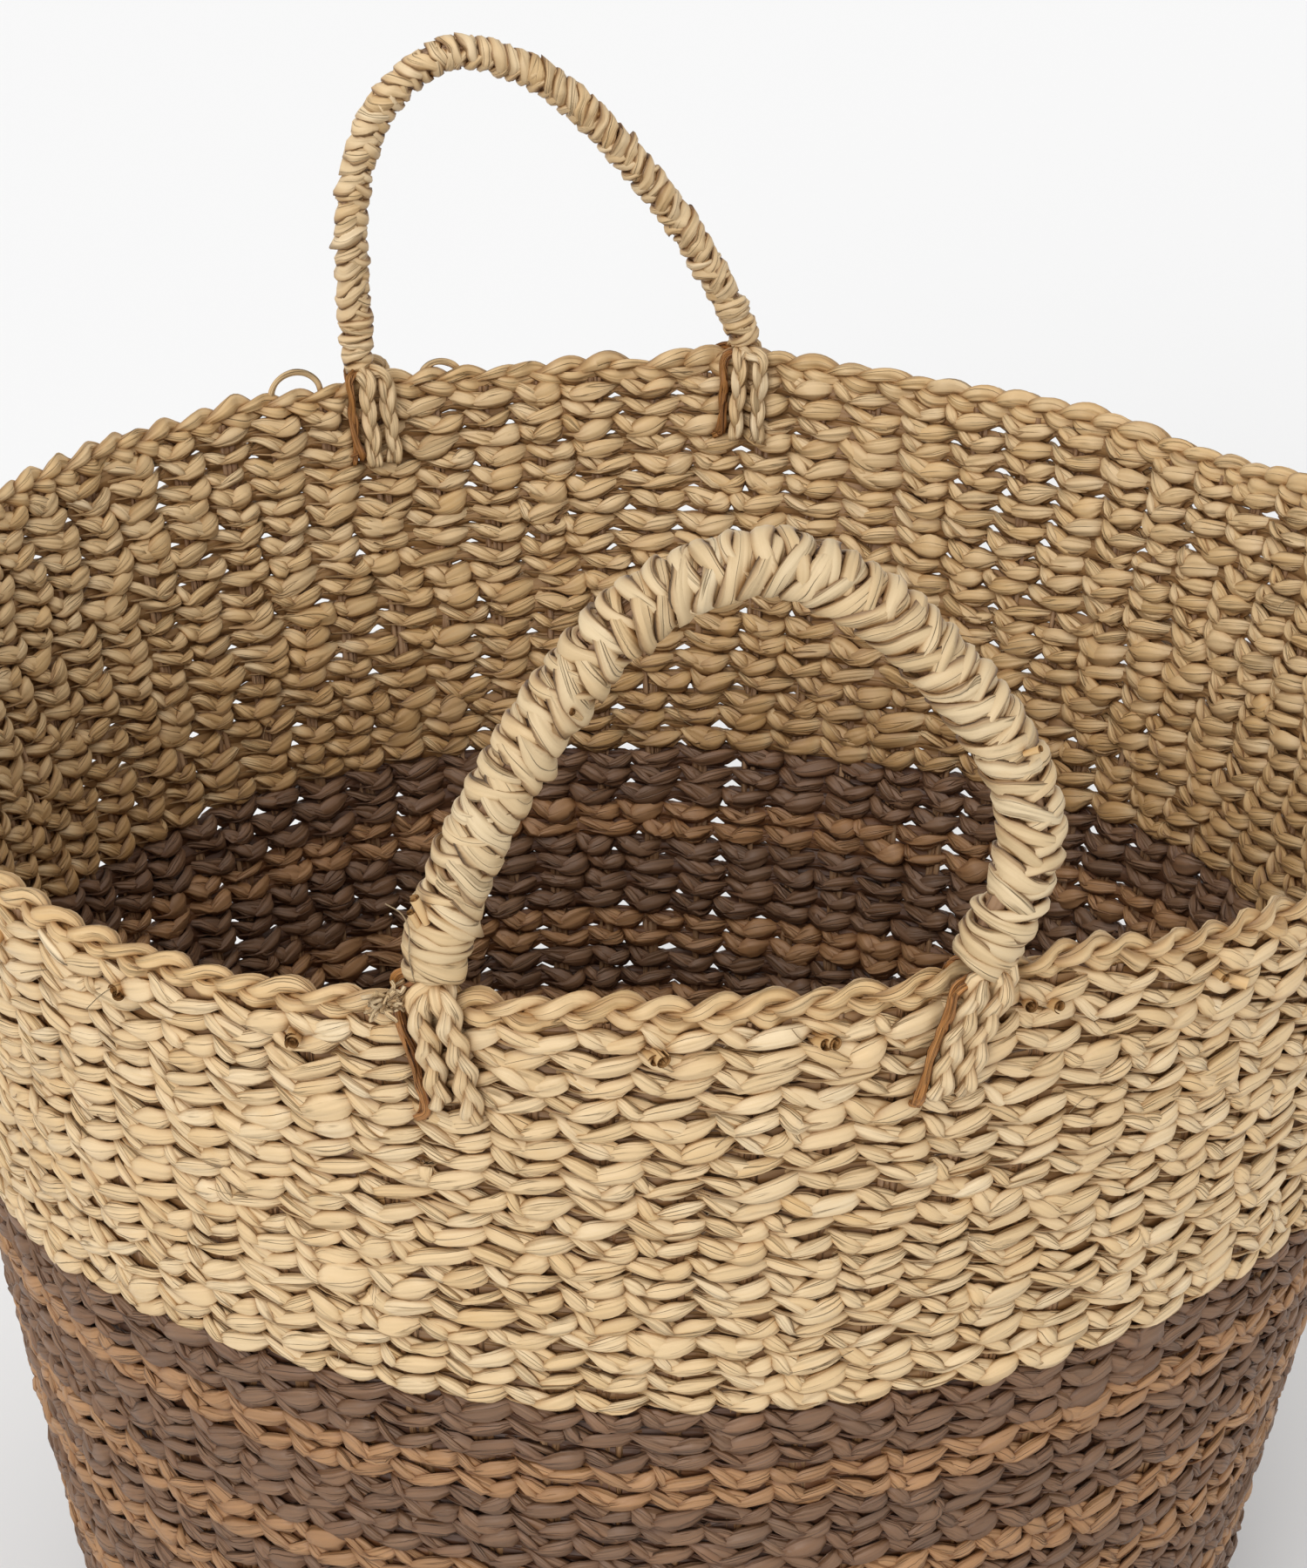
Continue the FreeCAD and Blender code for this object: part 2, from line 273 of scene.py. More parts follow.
def edged(look, around, amount, quarter=0.0):
    """Spread each ring's look round it, turned to shade along the leaf's two edges."""
    turn = TURN * (np.arange(around) / around + quarter)
    look = np.repeat(look[:, None, :], around, axis=1)
    look[..., 2] += amount * np.abs(np.sin(turn)) ** 6
    return look


def cyclic(values, n):
    """Spread values given at whole steps smoothly over n samples of a closed loop."""
    k = len(values)
    x = np.arange(n) * k / n
    i = np.floor(x).astype(int)
    f = x - i
    f = f * f * (3 - 2 * f)
    f = f.reshape((-1,) + (1,) * (values.ndim - 1))
    return values[i % k] * (1 - f) + values[(i + 1) % k] * f


# ---------- twined rows
WEAVE_OUT = 2.3 * MM        # how far a cord's middle stands off the wall's middle at a stake
LEAF_THICK = 1.7 * MM
FRONT_SHARE = 0.2           # how much longer a cord stays before the stakes than behind them
LEAF_EDGE = 0.65            # how far the colour turns to shade along a leaf's edges
ROW_START = 0.5             # share of a full turn at which every row starts, behind the basket
WIDE_STITCH = 22 * MM       # stake spacing at and above which a stitch has its full thickness
EYE_SEED = 31
INSIDE_SHADE_FROM = 60 * MM     # distance from the rim at which the painted shade on the inner side starts to deepen
INSIDE_SHADE_RUN = 95 * MM
BACKING_AROUND = 6
BACKING_THICK = 0.75 * MM
# painted shade: the backing leaves are coloured a dark warm brown so that the gaps between stitches look
# shadowed
BACKING_LOOK = (-2.0, 4.0, 1.5)


class Leaf:
    """One leaf ply of a cord as it passes a stake, in shares of the stake spacing and millimetres.

    route holds its heights across the stake. The leaf is widest at middle and thins out over reach.
    """

    def __init__(self, route, middle, reach, half_height, out):
        self.across = [share for share, _ in route]
        self.up = [height * MM for _, height in route]
        self.middle = middle
        self.reach = reach
        self.half_height = half_height * MM
        self.out = out * MM


SLENDER_FALLING = Leaf(((-0.5, 3.8), (-0.42, 3.2), (-0.12, -1.5), (0.5, 0.3)), -0.34, 0.26, 2.6, 1.2)
BROAD_FALLING = Leaf(((-0.5, 3.4), (-0.3, 2.5), (0.1, -1.9), (0.3, -2.0), (0.5, 0.2)), -0.08, 0.43, 3.2, 0.0)
BROAD_RISING = Leaf(((-0.5, -1.0), (-0.12, -1.6), (0.5, 1.8)), 0.23, 0.45, 3.6, 1.0)
PLIES = (SLENDER_FALLING, BROAD_FALLING, BROAD_RISING)


def twined_row(bundle, s_row, stakes, samples, around, inside_shading, seed):
    """One row: two cords of three leaves that pass before and behind the stakes in turn.

    Across each stake two leaves fall and a broad one rises, so a stitch looks like a tick mark.
    The argument after around scales the painted warm-brown shade on the leaves of the inner side, which
    deepens as the rows go down.
    """
    draw = np.random.default_rng(seed)
    n = stakes * samples

    def per_stitch(spread, middle=0.0):
        return np.roll(cyclic(draw.normal(middle, spread, stakes), n), samples // 2)

    u = np.arange(n) / samples + round(stakes * ROW_START) + 0.5
    theta = TURN * (u + per_stitch(0.15) + draw.normal(0, 0.1)) / stakes
    pitch = TURN * float(profile(s_row)[0]) / stakes
    narrow = 0.7 + 0.3 * min(pitch / WIDE_STITCH, 1.0)
    outward = surface_frame(theta, np.full(n, s_row))[0]
    lift = per_stitch(0.4 * MM)
    crossing = np.abs(np.sin(math.pi * u)) ** 6
    slack = 0.22 - 0.16 * np.cos(TURN * (np.arange(stakes) / stakes + ROW_START))
    openness = np.random.default_rng(EYE_SEED).normal(slack, 0.35) + draw.normal(0, 0.22, stakes)
    eye = cyclic(np.clip(openness, 0, 0.8), n)
    add_backing(bundle, s_row, u, theta, lift, eye)
    flatness = min(max((s_row - WALL_RUN) / HEEL_RUN, 0.0), 1.0)
    snug = 1 - 0.4 * flatness
    # painted shade: how far the inner side's painted warm-brown shade has deepened down the wall
    depth = inside_shading * min(max((s_row - INSIDE_SHADE_FROM) / INSIDE_SHADE_RUN, 0.0), 1.0)
    for cord in (0, 1):
        gate = np.tanh(2.2 * (np.cos(math.pi * (u + cord)) + FRONT_SHARE)) / math.tanh(2.2)
        across = np.arcsin(np.sin(math.pi * (u + cord))) / math.pi + per_stitch(0.035)
        swell = per_stitch(0.15, 1.0)
        out = WEAVE_OUT * gate * (0.85 + 0.15 * swell) + per_stitch(0.35 * MM)
        dip = 1 + per_stitch(0.25)
        for leaf in PLIES:
            reach = np.clip(1 - ((across - leaf.middle) / (leaf.reach * (1 + per_stitch(0.1)))) ** 2, 0, 1)
            size = (0.16 + 0.84 * reach ** 0.75) * swell * (1 + per_stitch(0.15))
            size = size * (1 - 0.5 * crossing * eye) * narrow
            ply_out = (out + leaf.out * gate + per_stitch(0.3 * MM)) * snug
            route = np.interp(across + per_stitch(0.04), leaf.across, leaf.up)
            ply_up = route * dip * narrow + lift + per_stitch(0.35 * MM)
            centre = surface(theta, np.full(n, s_row), ply_out, ply_up)
            tangent = loop_tangent(centre)
            side = crosswise(outward, tangent)
            above = np.cross(tangent, side)
            ridges = 1 + cyclic(draw.normal(0, 0.14, (stakes * 3, around)), n)
            lean = per_stitch(0.35)
            thick = LEAF_THICK * (0.4 + 0.6 * size) * snug
            points = ring_points(centre, side, above, thick, leaf.half_height * size, ridges, lean)
            tone = per_stitch(1.0) + np.repeat(draw.normal(0, 0.5, stakes), samples)
            tint = cyclic(draw.normal(0, 1, max(stakes // 3, 2)), n)
            inside = np.clip(-gate, 0, 1)
            # painted shade: each leaf darkens towards its ends, where it passes under the others
            shade = 0.8 * (1 - reach) + (0.15 * inside_shading + 0.85 * depth) * inside
            # painted shade: leaves on the inner side are painted darker and warmer, more so down the wall
            darker = 1.2 * depth * inside
            warmer = (2.2 * inside_shading + 2.8 * depth) * inside
            look = np.stack([tone - darker, tint + warmer, shade], -1)
            along = u * pitch + draw.uniform(0, 1)
            bundle.grid(points, edged(look, around, LEAF_EDGE), along, LEAF_GIRTH, closed_along=True)


def add_backing(bundle, s_row, u, theta, lift, eye):
    """The flat leaves inside a row that close it, save for a small eye between two stakes here and there."""
    n = len(u)
    outward, upward = surface_frame(theta, np.full(n, s_row))
    centre = surface(theta, np.full(n, s_row), 0.0, lift)
    crossing = np.abs(np.sin(math.pi * u)) ** 14
    tall = (ROW_PITCH / 2 + 1.3 * MM) * (1 - eye * crossing)
    points = ring_points(centre, outward, upward, np.full(n, BACKING_THICK), tall,
                         np.ones((n, BACKING_AROUND)), np.zeros(n))
    # painted shade: the backing takes its dark look
    look = np.tile(BACKING_LOOK, (n, 1))
    bundle.grid(points, look, u * WIDE_STITCH, LEAF_GIRTH, closed_along=True)


# the CAD bands, from the rim down
WALL_BANDS = ("border_row", "upper_natural", "dark_band_1", "brown_stripe_1", "dark_band_2", "brown_stripe_2",
              "dark_band_3", "brown_stripe_3", "dark_band_4", "brown_stripe_4", "dark_band_5", "heel_rows",
              "base_rows", "base_start_disc")
NATURAL_BANDS = ("border_row", "upper_natural")
STAKE_COUNTS = ((130 * MM, STAKES), (85 * MM, 52), (45 * MM, 26), (0.0, 14))    # from each radius outwards
FIRST_ROW = 0.42            # share of a row between the plait and the first row's middle
FINE_ROWS = 19              # rows near the rim, seen from close by, that get more rings per stitch
FINE = (12, 8)              # rings per stitch and points per ring
COARSE = (8, 6)
PIECE_LIMIT = 185000        # most triangles in one bundle; triangles in one exported piece
WEAVE_SEED = 1000


def band_of(s_row):
    """The CAD node that holds the row at this distance from the rim."""
    r, z = profile(s_row)[:2]
    if s_row > WALL_RUN + HEEL_RUN:
        return "base_start_disc" if r < START_DISC_RADIUS else "base_rows"
    for name in WALL_BANDS[:-2]:
        low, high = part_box(name)
        if low[2] <= z <= high[2]:
            return name
    return "border_row"


def stakes_at(r):
    """How many stakes a row crosses: fewer near the middle of the base, where they were begun."""
    return next(count for radius, count in STAKE_COUNTS if r >= radius)


def weave():
    """All rows, in bundles of one band each that stay under the size of one exported piece."""
    bundles = {}
    s_row = BRAID_HEIGHT + ROW_PITCH * FIRST_ROW
    number = 0
    while s_row < FULL_RUN - 2 * MM:
        band = band_of(s_row)
        made = bundles.setdefault(band, [])
        stakes = stakes_at(float(profile(s_row)[0]))
        samples, around = FINE if number < FINE_ROWS else COARSE
        size = 2 * stakes * samples * (2 * around * len(PLIES) + BACKING_AROUND)
        if not made or made[-1].count * 2 + size > PIECE_LIMIT:
            made.append(Bundle("%s_strands_%d" % (band, len(made) + 1)))
        # only the natural bands get the painted shade on the inner side
        inside_shading = 1.0 if band in NATURAL_BANDS else 0.0
        twined_row(made[-1], s_row, stakes, samples, around, inside_shading, WEAVE_SEED + number)
        s_row += ROW_PITCH
        number += 1
    return [(band, bundle) for band, made in bundles.items() for bundle in made]


# ---------- materials
GROOVE_SHADE = (0.58, 0.42, 0.26)     # painted shade: what deep grooves between leaves leave of each colour
GROOVE_REACH = 3.5 * MM
HALF_SHADE = (0.53, 0.45, 0.38)     # painted shade: what a leaf's shaded edge leaves of its warm colour
FULL_SHADE = (0.22, 0.16, 0.13)     # painted shade: what the depth of a stitch leaves of it
SMOOTHEST = 0.43                    # roughness between the fibres
BUMP_DEPTH = 0.6 * MM


def scaled(colour, shares):
    """A colour with each of its channels multiplied by that channel's share."""
    return tuple(c * share for c, share in zip(colour, shares))


def seagrass(name, light, deep, warm, streak=0.5):
    """Dried leaf: long fibres, thin dark creases, blotches and a tone that changes leaf by leaf."""
    mat = bpy.data.materials.new(name)
    mat.use_nodes = True
    nodes = mat.node_tree.nodes
    links = mat.node_tree.links
    shader = nodes["Principled BSDF"]

    def new(kind, **values):
        node = nodes.new(kind)
        for key, value in values.items():
            setattr(node, key, value)
        return node

    def math_node(operation, a, b):
        node = new("ShaderNodeMath", operation=operation)
        for socket, value in zip(node.inputs, (a, b)):
            if isinstance(value, (int, float)):
                socket.default_value = value
            else:
                links.new(value, socket)
        return node.outputs[0]

    def noise(stretch, detail=3.0):
        """Noise with this many spots a metre along the leaf and across it."""
        place = new("ShaderNodeVectorMath", operation="MULTIPLY")
        links.new(fibre.outputs["Vector"], place.inputs[0])
        place.inputs[1].default_value = stretch
        node = new("ShaderNodeTexNoise")
        node.inputs["Scale"].default_value = 1.0
        node.inputs["Detail"].default_value = detail
        links.new(place.outputs[0], node.inputs["Vector"])
        return node.outputs["Fac"]

    def mix(factor, a, b, blend="MIX"):
        node = new("ShaderNodeMix", data_type="RGBA", blend_type=blend)
        for socket, value in ((node.inputs[0], factor), (node.inputs[6], a), (node.inputs[7], b)):
            if isinstance(value, (int, float)):
                socket.default_value = value
            elif isinstance(value, tuple):
                socket.default_value = value + (1,)
            else:
                links.new(value, socket)
        return node.outputs[2]

    def ramp(value, low, high):
        node = new("ShaderNodeMapRange")
        links.new(value, node.inputs["Value"])
        node.inputs["From Min"].default_value = low
        node.inputs["From Max"].default_value = high
        return node.outputs["Result"]

    fibre = new("ShaderNodeAttribute", attribute_name="fibre")
    look = new("ShaderNodeAttribute", attribute_name="look")
    parts = new("ShaderNodeSeparateXYZ")
    links.new(look.outputs["Vector"], parts.inputs[0])
    streaks = noise((60, 1400, 1400))
    blotch = noise((90, 220, 220))
    crease_noise = noise((16, 420, 420), detail=1.0)
    offset = math_node("ABSOLUTE", math_node("SUBTRACT", crease_noise, 0.5), 0.0)
    crease = math_node("MULTIPLY", ramp(offset, 0.016, 0.0), ramp(blotch, 0.35, 0.6))
    tone = ramp(parts.outputs[0], -2.5, 2.5)
    tint = ramp(parts.outputs[1], -2.5, 5.0)
    base = mix(tone, deep, light)
    base = mix(math_node("MULTIPLY", tint, 0.85), base, warm)
    base = mix(math_node("MULTIPLY", ramp(streaks, 0.42, 0.64), streak), base, deep)
    base = mix(math_node("MULTIPLY", ramp(blotch, 0.55, 0.8), 0.35), base, warm)
    base = mix(math_node("MULTIPLY", crease, 0.75), base, scaled(warm, (0.4, 0.4, 0.4)))
    # painted shade: the look's shade channel darkens the colour towards a warm brown, up to 0.65 of the way
    # from 0.3 to 0.95, then towards a deeper brown, up to 0.9 of the way from 1 to 2
    base = mix(math_node("MULTIPLY", ramp(parts.outputs[2], 0.3, 0.95), 0.65), base, scaled(warm, HALF_SHADE))
    base = mix(math_node("MULTIPLY", ramp(parts.outputs[2], 1.0, 2.0), 0.9), base, scaled(warm, FULL_SHADE))
    # painted shade: ambient occlusion within GROOVE_REACH darkens the colour in the grooves between leaves
    groove_shade = new("ShaderNodeAmbientOcclusion", samples=4)
    groove_shade.inputs["Distance"].default_value = GROOVE_REACH
    open_share = ramp(groove_shade.outputs["AO"], 0.2, 0.95)
    base = mix(open_share, mix(1.0, base, GROOVE_SHADE, "MULTIPLY"), base)
    links.new(base, shader.inputs["Base Color"])
    rough_value = math_node("ADD", math_node("MULTIPLY", streaks, 0.25), SMOOTHEST)
    links.new(rough_value, shader.inputs["Roughness"])
    facets = noise((30, 420, 420), detail=1.0)
    height = math_node("SUBTRACT", math_node("MULTIPLY", streaks, 0.35), math_node("MULTIPLY", crease, 0.8))
    height = math_node("ADD", height, math_node("MULTIPLY", facets, 4.0))
    bump = new("ShaderNodeBump")
    bump.inputs["Strength"].default_value = 1.0
    bump.inputs["Distance"].default_value = BUMP_DEPTH
    links.new(height, bump.inputs["Height"])
    links.new(bump.outputs["Normal"], shader.inputs["Normal"])
    shader.inputs["Specular IOR Level"].default_value = 0.5
    return mat


NATURAL = seagrass("natural_seagrass", (0.775, 0.63, 0.42), (0.60, 0.43, 0.23), (0.63, 0.39, 0.155))
# front handle's leaf: darker than NATURAL as painted shade that tones down the strong light on the handle's
# top; its fewer streaks are its own
HANDLE = seagrass("handle_seagrass", (0.69, 0.56, 0.365), (0.53, 0.39, 0.215), (0.59, 0.39, 0.18), streak=0.3)
DARK = seagrass("dark_seagrass", (0.24, 0.135, 0.071), (0.124, 0.069, 0.039), (0.213, 0.10, 0.044))
BROWN = seagrass("brown_seagrass", (0.44, 0.245, 0.114), (0.27, 0.144, 0.065), (0.385, 0.188, 0.072))
FIBRE = seagrass("brown_fibre", (0.50, 0.23, 0.06), (0.26, 0.105, 0.027), (0.44, 0.18, 0.035), streak=0.6)
STAKE = seagrass("stake_fibre", (0.42, 0.27, 0.15), (0.22, 0.13, 0.07), (0.33, 0.18, 0.08))


def band_material(band):
    """The material of a band's leaves, and the name of the record's slot for it."""
    if band in NATURAL_BANDS:
        return NATURAL, "natural_seagrass"
    if band.startswith("brown_stripe"):
        return BROWN, "brown_seagrass"
    return DARK, "dark_seagrass"


# ---------- stakes
STAKE_TOP = 8 * MM          # how far below the rim's top edge the stakes begin
STAKE_STEP = 9 * MM
STAKE_AROUND = 6
STRAND_RADIUS = 1.15 * MM
STRAND_SPACING = 1.9 * MM
STRAND_GIRTH = 7 * MM


def build_stakes():
    """Each stake is a bundle of three raw strands that runs down the wall and in along the base."""
    draw = np.random.default_rng(77)
    bundle = Bundle("stake_strands")
    for k in range(STAKES):
        end = FULL_RUN - START_DISC_RADIUS if k % 3 else FULL_RUN - 20 * MM
        s = np.arange(STAKE_TOP, end, STAKE_STEP)
        knots = s[::6]
        r = profile(s)[0]
        for strand in (-1, 0, 1):
            sway = np.interp(s, knots, draw.normal(0, 0.5 * MM, len(knots)))
            shift = (strand * STRAND_SPACING * np.clip(r / (160 * MM), 0.3, 1) + sway) / r
            out = np.interp(s, knots, draw.normal(0, 0.4 * MM, len(knots)))
            angle = TURN * k / STAKES + shift
            centre = surface(angle, s, out)
            side, across = route_sides(centre, surface_frame(angle, s)[0])
            ridges = 1 + draw.normal(0, 0.1, (len(s), STAKE_AROUND))
            radius = np.full(len(s), STRAND_RADIUS)
            points = ring_points(centre, side, across, radius, radius * 1.15, ridges, np.zeros(len(s)))
            look = np.tile([draw.normal(), draw.normal(), 0.0], (len(s), 1))
            bundle.grid(points, look, s, STRAND_GIRTH)
    ob = bundle.build(STAKE)
    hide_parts("warp_stakes")
    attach(ob, "basket")


# ---------- rim
BRAID_CYCLES = 41
BRAID_SAMPLES = 24
BRAID_AROUND = 10
BRAID_RISE = 3.1 * MM       # how far each strand swings up and down
BRAID_DEPTH = 2.0 * MM      # and out and in, twice as often
BRAID_LEAF_TALL = 3.3 * MM
BRAID_LEAF_THICK = 2.3 * MM


def build_rim_braid():
    """A three-strand plait that closes the top edge."""
    draw = np.random.default_rng(500)
    bundle = Bundle("rim_plait")
    n = BRAID_CYCLES * BRAID_SAMPLES
    v = np.arange(n) / BRAID_SAMPLES
    theta = math.pi + TURN * v / BRAID_CYCLES
    s_mid = np.full(n, BRAID_HEIGHT * 0.5)
    outward = surface_frame(theta, s_mid)[0]
    loose = cyclic(draw.normal(0, 0.5 * MM, BRAID_CYCLES * 2), n)
    for strand in range(3):
        phase = TURN * (v + strand / 3) + cyclic(draw.normal(0, 0.25, BRAID_CYCLES), n)
        swell = cyclic(draw.normal(1, 0.14, BRAID_CYCLES * 2), n)
        up = BRAID_RISE * np.sin(phase) * swell + loose
        cross = np.sin(2 * phase + 0.3)
        out = BRAID_DEPTH * cross + cyclic(draw.normal(0, 0.3 * MM, BRAID_CYCLES * 2), n)
        centre = surface(theta, s_mid, out, up)
        tangent = loop_tangent(centre)
        side = crosswise(outward, tangent)
        above = np.cross(tangent, side)
        ridges = 1 + cyclic(draw.normal(0, 0.12, (BRAID_CYCLES * 5, BRAID_AROUND)), n)
        thick = BRAID_LEAF_THICK * swell * (0.5 + 0.5 * np.abs(cross))
        lens = np.abs(np.sin(phase)) ** 1.2
        tall = BRAID_LEAF_TALL * swell * (0.55 + 0.45 * lens)
        twist = cyclic(draw.normal(0, 0.3, BRAID_CYCLES), n)
        points = ring_points(centre, side, above, thick, tall, ridges, twist)
        tone = cyclic(draw.normal(-1.4, 1, BRAID_CYCLES * 2), n)
        tint = cyclic(draw.normal(2.0, 1, BRAID_CYCLES // 3), n)
        # painted shade: each strand darkens where it dives under the others and along its two edges
        look = edged(np.stack([tone, tint, 0.75 * (1 - lens)], -1), BRAID_AROUND, 1.0)
        bundle.grid(points, look, theta * RIM_RADIUS, LEAF_GIRTH, closed_along=True)
    ob = bundle.build(NATURAL)
    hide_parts("rim_braid")
    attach(ob, "basket")


# ---------- ropes and strips along a route
PLAIT_LOBE = 16 * MM        # length of one lobe of a plait
PLAIT_TAPER = 0.1           # share of its thickness that a plait loses towards its lower end


def smooth_route(points, step):
    """Evenly spaced points of a soft curve through given ones."""
    points = np.array(points, float)
    padded = np.vstack([2 * points[0] - points[1], points, 2 * points[-1] - points[-2]])
    fine = []
    for a, b, c, d in zip(padded, padded[1:], padded[2:], padded[3:]):
        t = np.linspace(0, 1, 24, endpoint=False)[:, None]
        fine.append(0.5 * (2 * b + (c - a) * t + (2 * a - 5 * b + 4 * c - d) * t ** 2
                           + (3 * b - a - 3 * c + d) * t ** 3))
    fine = np.vstack(fine + [points[-1:]])
    gone = distance_along(fine)
    count = max(int(round(gone[-1] / step)), 3)
    want = np.linspace(0, gone[-1], count + 1)
    return np.stack([np.interp(want, gone, fine[:, k]) for k in range(fine.shape[1])], -1), want


def distance_along(points):
    """How far each point lies along the line through all of them."""
    return np.concatenate([[0], np.cumsum(np.linalg.norm(np.diff(points, axis=0), axis=1))])


def route_sides(centre, hint):
    """Two directions across a route, the first one close to a hint direction."""
    tangent = unit(np.gradient(centre, axis=0))
    side = crosswise(np.broadcast_to(np.asarray(hint, float), centre.shape), tangent)
    return side, np.cross(tangent, side)


def close_ends(points):
    """Rings shrunk to near nothing at both ends, so that a strand has rounded tips."""
    first, last = [ring.mean(axis=1, keepdims=True) for ring in (points[:1], points[-1:])]
    head = [first + (points[:1] - first) * share for share in (0.02, 0.6)]
    tail = [last + (points[-1:] - last) * share for share in (0.6, 0.02)]
    return np.concatenate(head + [points] + tail)


def add_strand(bundle, centre, hint, wide, tall, draw, around=10, rough=0.08, shade=0.0, tone=None,
               piece_length=8 * MM):
    """One leaf strand along a route, with its own tone and folds, its ends closed."""
    n = len(centre)
    side, above = route_sides(centre, hint)
    gone = distance_along(centre)
    knots = max(int(gone[-1] / piece_length) + 2, 3)
    knot_at = np.linspace(0, gone[-1], knots)
    folds = draw.normal(0, rough, (knots, around))
    ridges = 1 + np.stack([np.interp(gone, knot_at, folds[:, j]) for j in range(around)], -1)
    wide = np.broadcast_to(wide, (n,)).astype(float)
    tall = np.broadcast_to(tall, (n,)).astype(float)
    points = close_ends(ring_points(centre, side, above, wide, tall, ridges, 0 * gone))
    tone = draw.normal() if tone is None else tone
    look = np.empty((len(points), 3))
    look[:, 0] = tone
    look[:, 1] = draw.normal()
    look[:, 2] = np.pad(np.broadcast_to(shade, (n,)), 2, mode="edge")
    tip = np.array([0.1, 0.2]) * MM
    along = np.concatenate([-tip[::-1], gone, gone[-1] + tip])
    # painted shade along the strand's two edges, added to any shade passed in
    bundle.grid(points, edged(look, around, 0.7), along + draw.uniform(0, 1), 15 * MM)


def add_plait(bundle, route, hint, half_width, leaf, draw):
    """A small three-strand plait along a route, its broad face towards the hint direction."""
    centre, gone = smooth_route(route, PLAIT_LOBE / 9)
    side, above = route_sides(centre, hint)
    narrow = 1 - PLAIT_TAPER * gone / gone[-1]
    for strand in range(3):
        phase = TURN * (gone / (2 * PLAIT_LOBE) + strand / 3)
        across = half_width * narrow * np.sin(phase) + draw.normal(0, 0.2 * MM)
        out = 0.55 * leaf * np.sin(2 * phase + 0.3)
        path = centre + across[:, None] * above + out[:, None] * side
        lens = np.abs(np.sin(phase)) ** 1.2
        wide = leaf * narrow * (0.6 + 0.4 * lens)
        thick = 0.62 * leaf * narrow * (0.8 + 0.2 * lens)
        # painted shade where each strand dives under the others
        add_strand(bundle, path, hint, thick, wide, draw, rough=0.12, shade=0.7 * (1 - lens),
                   tone=draw.normal(0, 0.8))


# ---------- handles
HANDLE_TURN = math.radians(3.45)    # how far both hoops stand round the rim, towards -X
HANDLE_OUT = 264 * MM
CUFF_LENGTH = 24 * MM
WRAP_INSET = 5 * MM         # from the end of the hoop's line to the first and last turns
CORE_STRANDS = 5
TURN_SAMPLES = 36
TURN_AROUND = 10

# (distance along the handle's upright plane, height above the rim top) in millimetres, left to right
FRONT_LINE = ((-76, 3), (-73.5, 16), (-68, 34), (-57, 60), (-38, 92), (-14, 119), (18, 131), (45, 120),
              (68, 99), (86, 74), (93.5, 52), (91, 32), (84.5, 16), (79, 5))
BACK_LINE = ((-77.5, 2), (-78.5, 20), (-79.5, 48), (-78, 78), (-67, 109), (-40, 129), (-6, 118), (22, 92),
             (47, 60), (64, 32), (72, 15), (76, 3))


class Handle:
    """Where one hoop handle stands, and its wrap's radius, strip width and pitch."""

    def __init__(self, name, side, line, wrap_radius, strip, pitch):
        self.name = name
        self.outward = np.array([-math.sin(HANDLE_TURN), side * math.cos(HANDLE_TURN), 0])
        self.along = np.array([math.cos(HANDLE_TURN), side * math.sin(HANDLE_TURN), 0])
        self.line = line
        self.wrap_radius = wrap_radius
        self.strip = strip
        self.pitch = pitch

    def point(self, along, outward, above_rim):
        return self.along * along + self.outward * outward + np.array([0, 0, HEIGHT + above_rim])

    def route(self):
        return [self.point(a * MM, HANDLE_OUT, z * MM) for a, z in self.line]


FRONT = Handle("front_handle", -1, FRONT_LINE, 9.3 * MM, 6.6 * MM, 7.0 * MM)
BACK = Handle("back_handle", 1, BACK_LINE, 6.0 * MM, 5.4 * MM, 5.6 * MM)


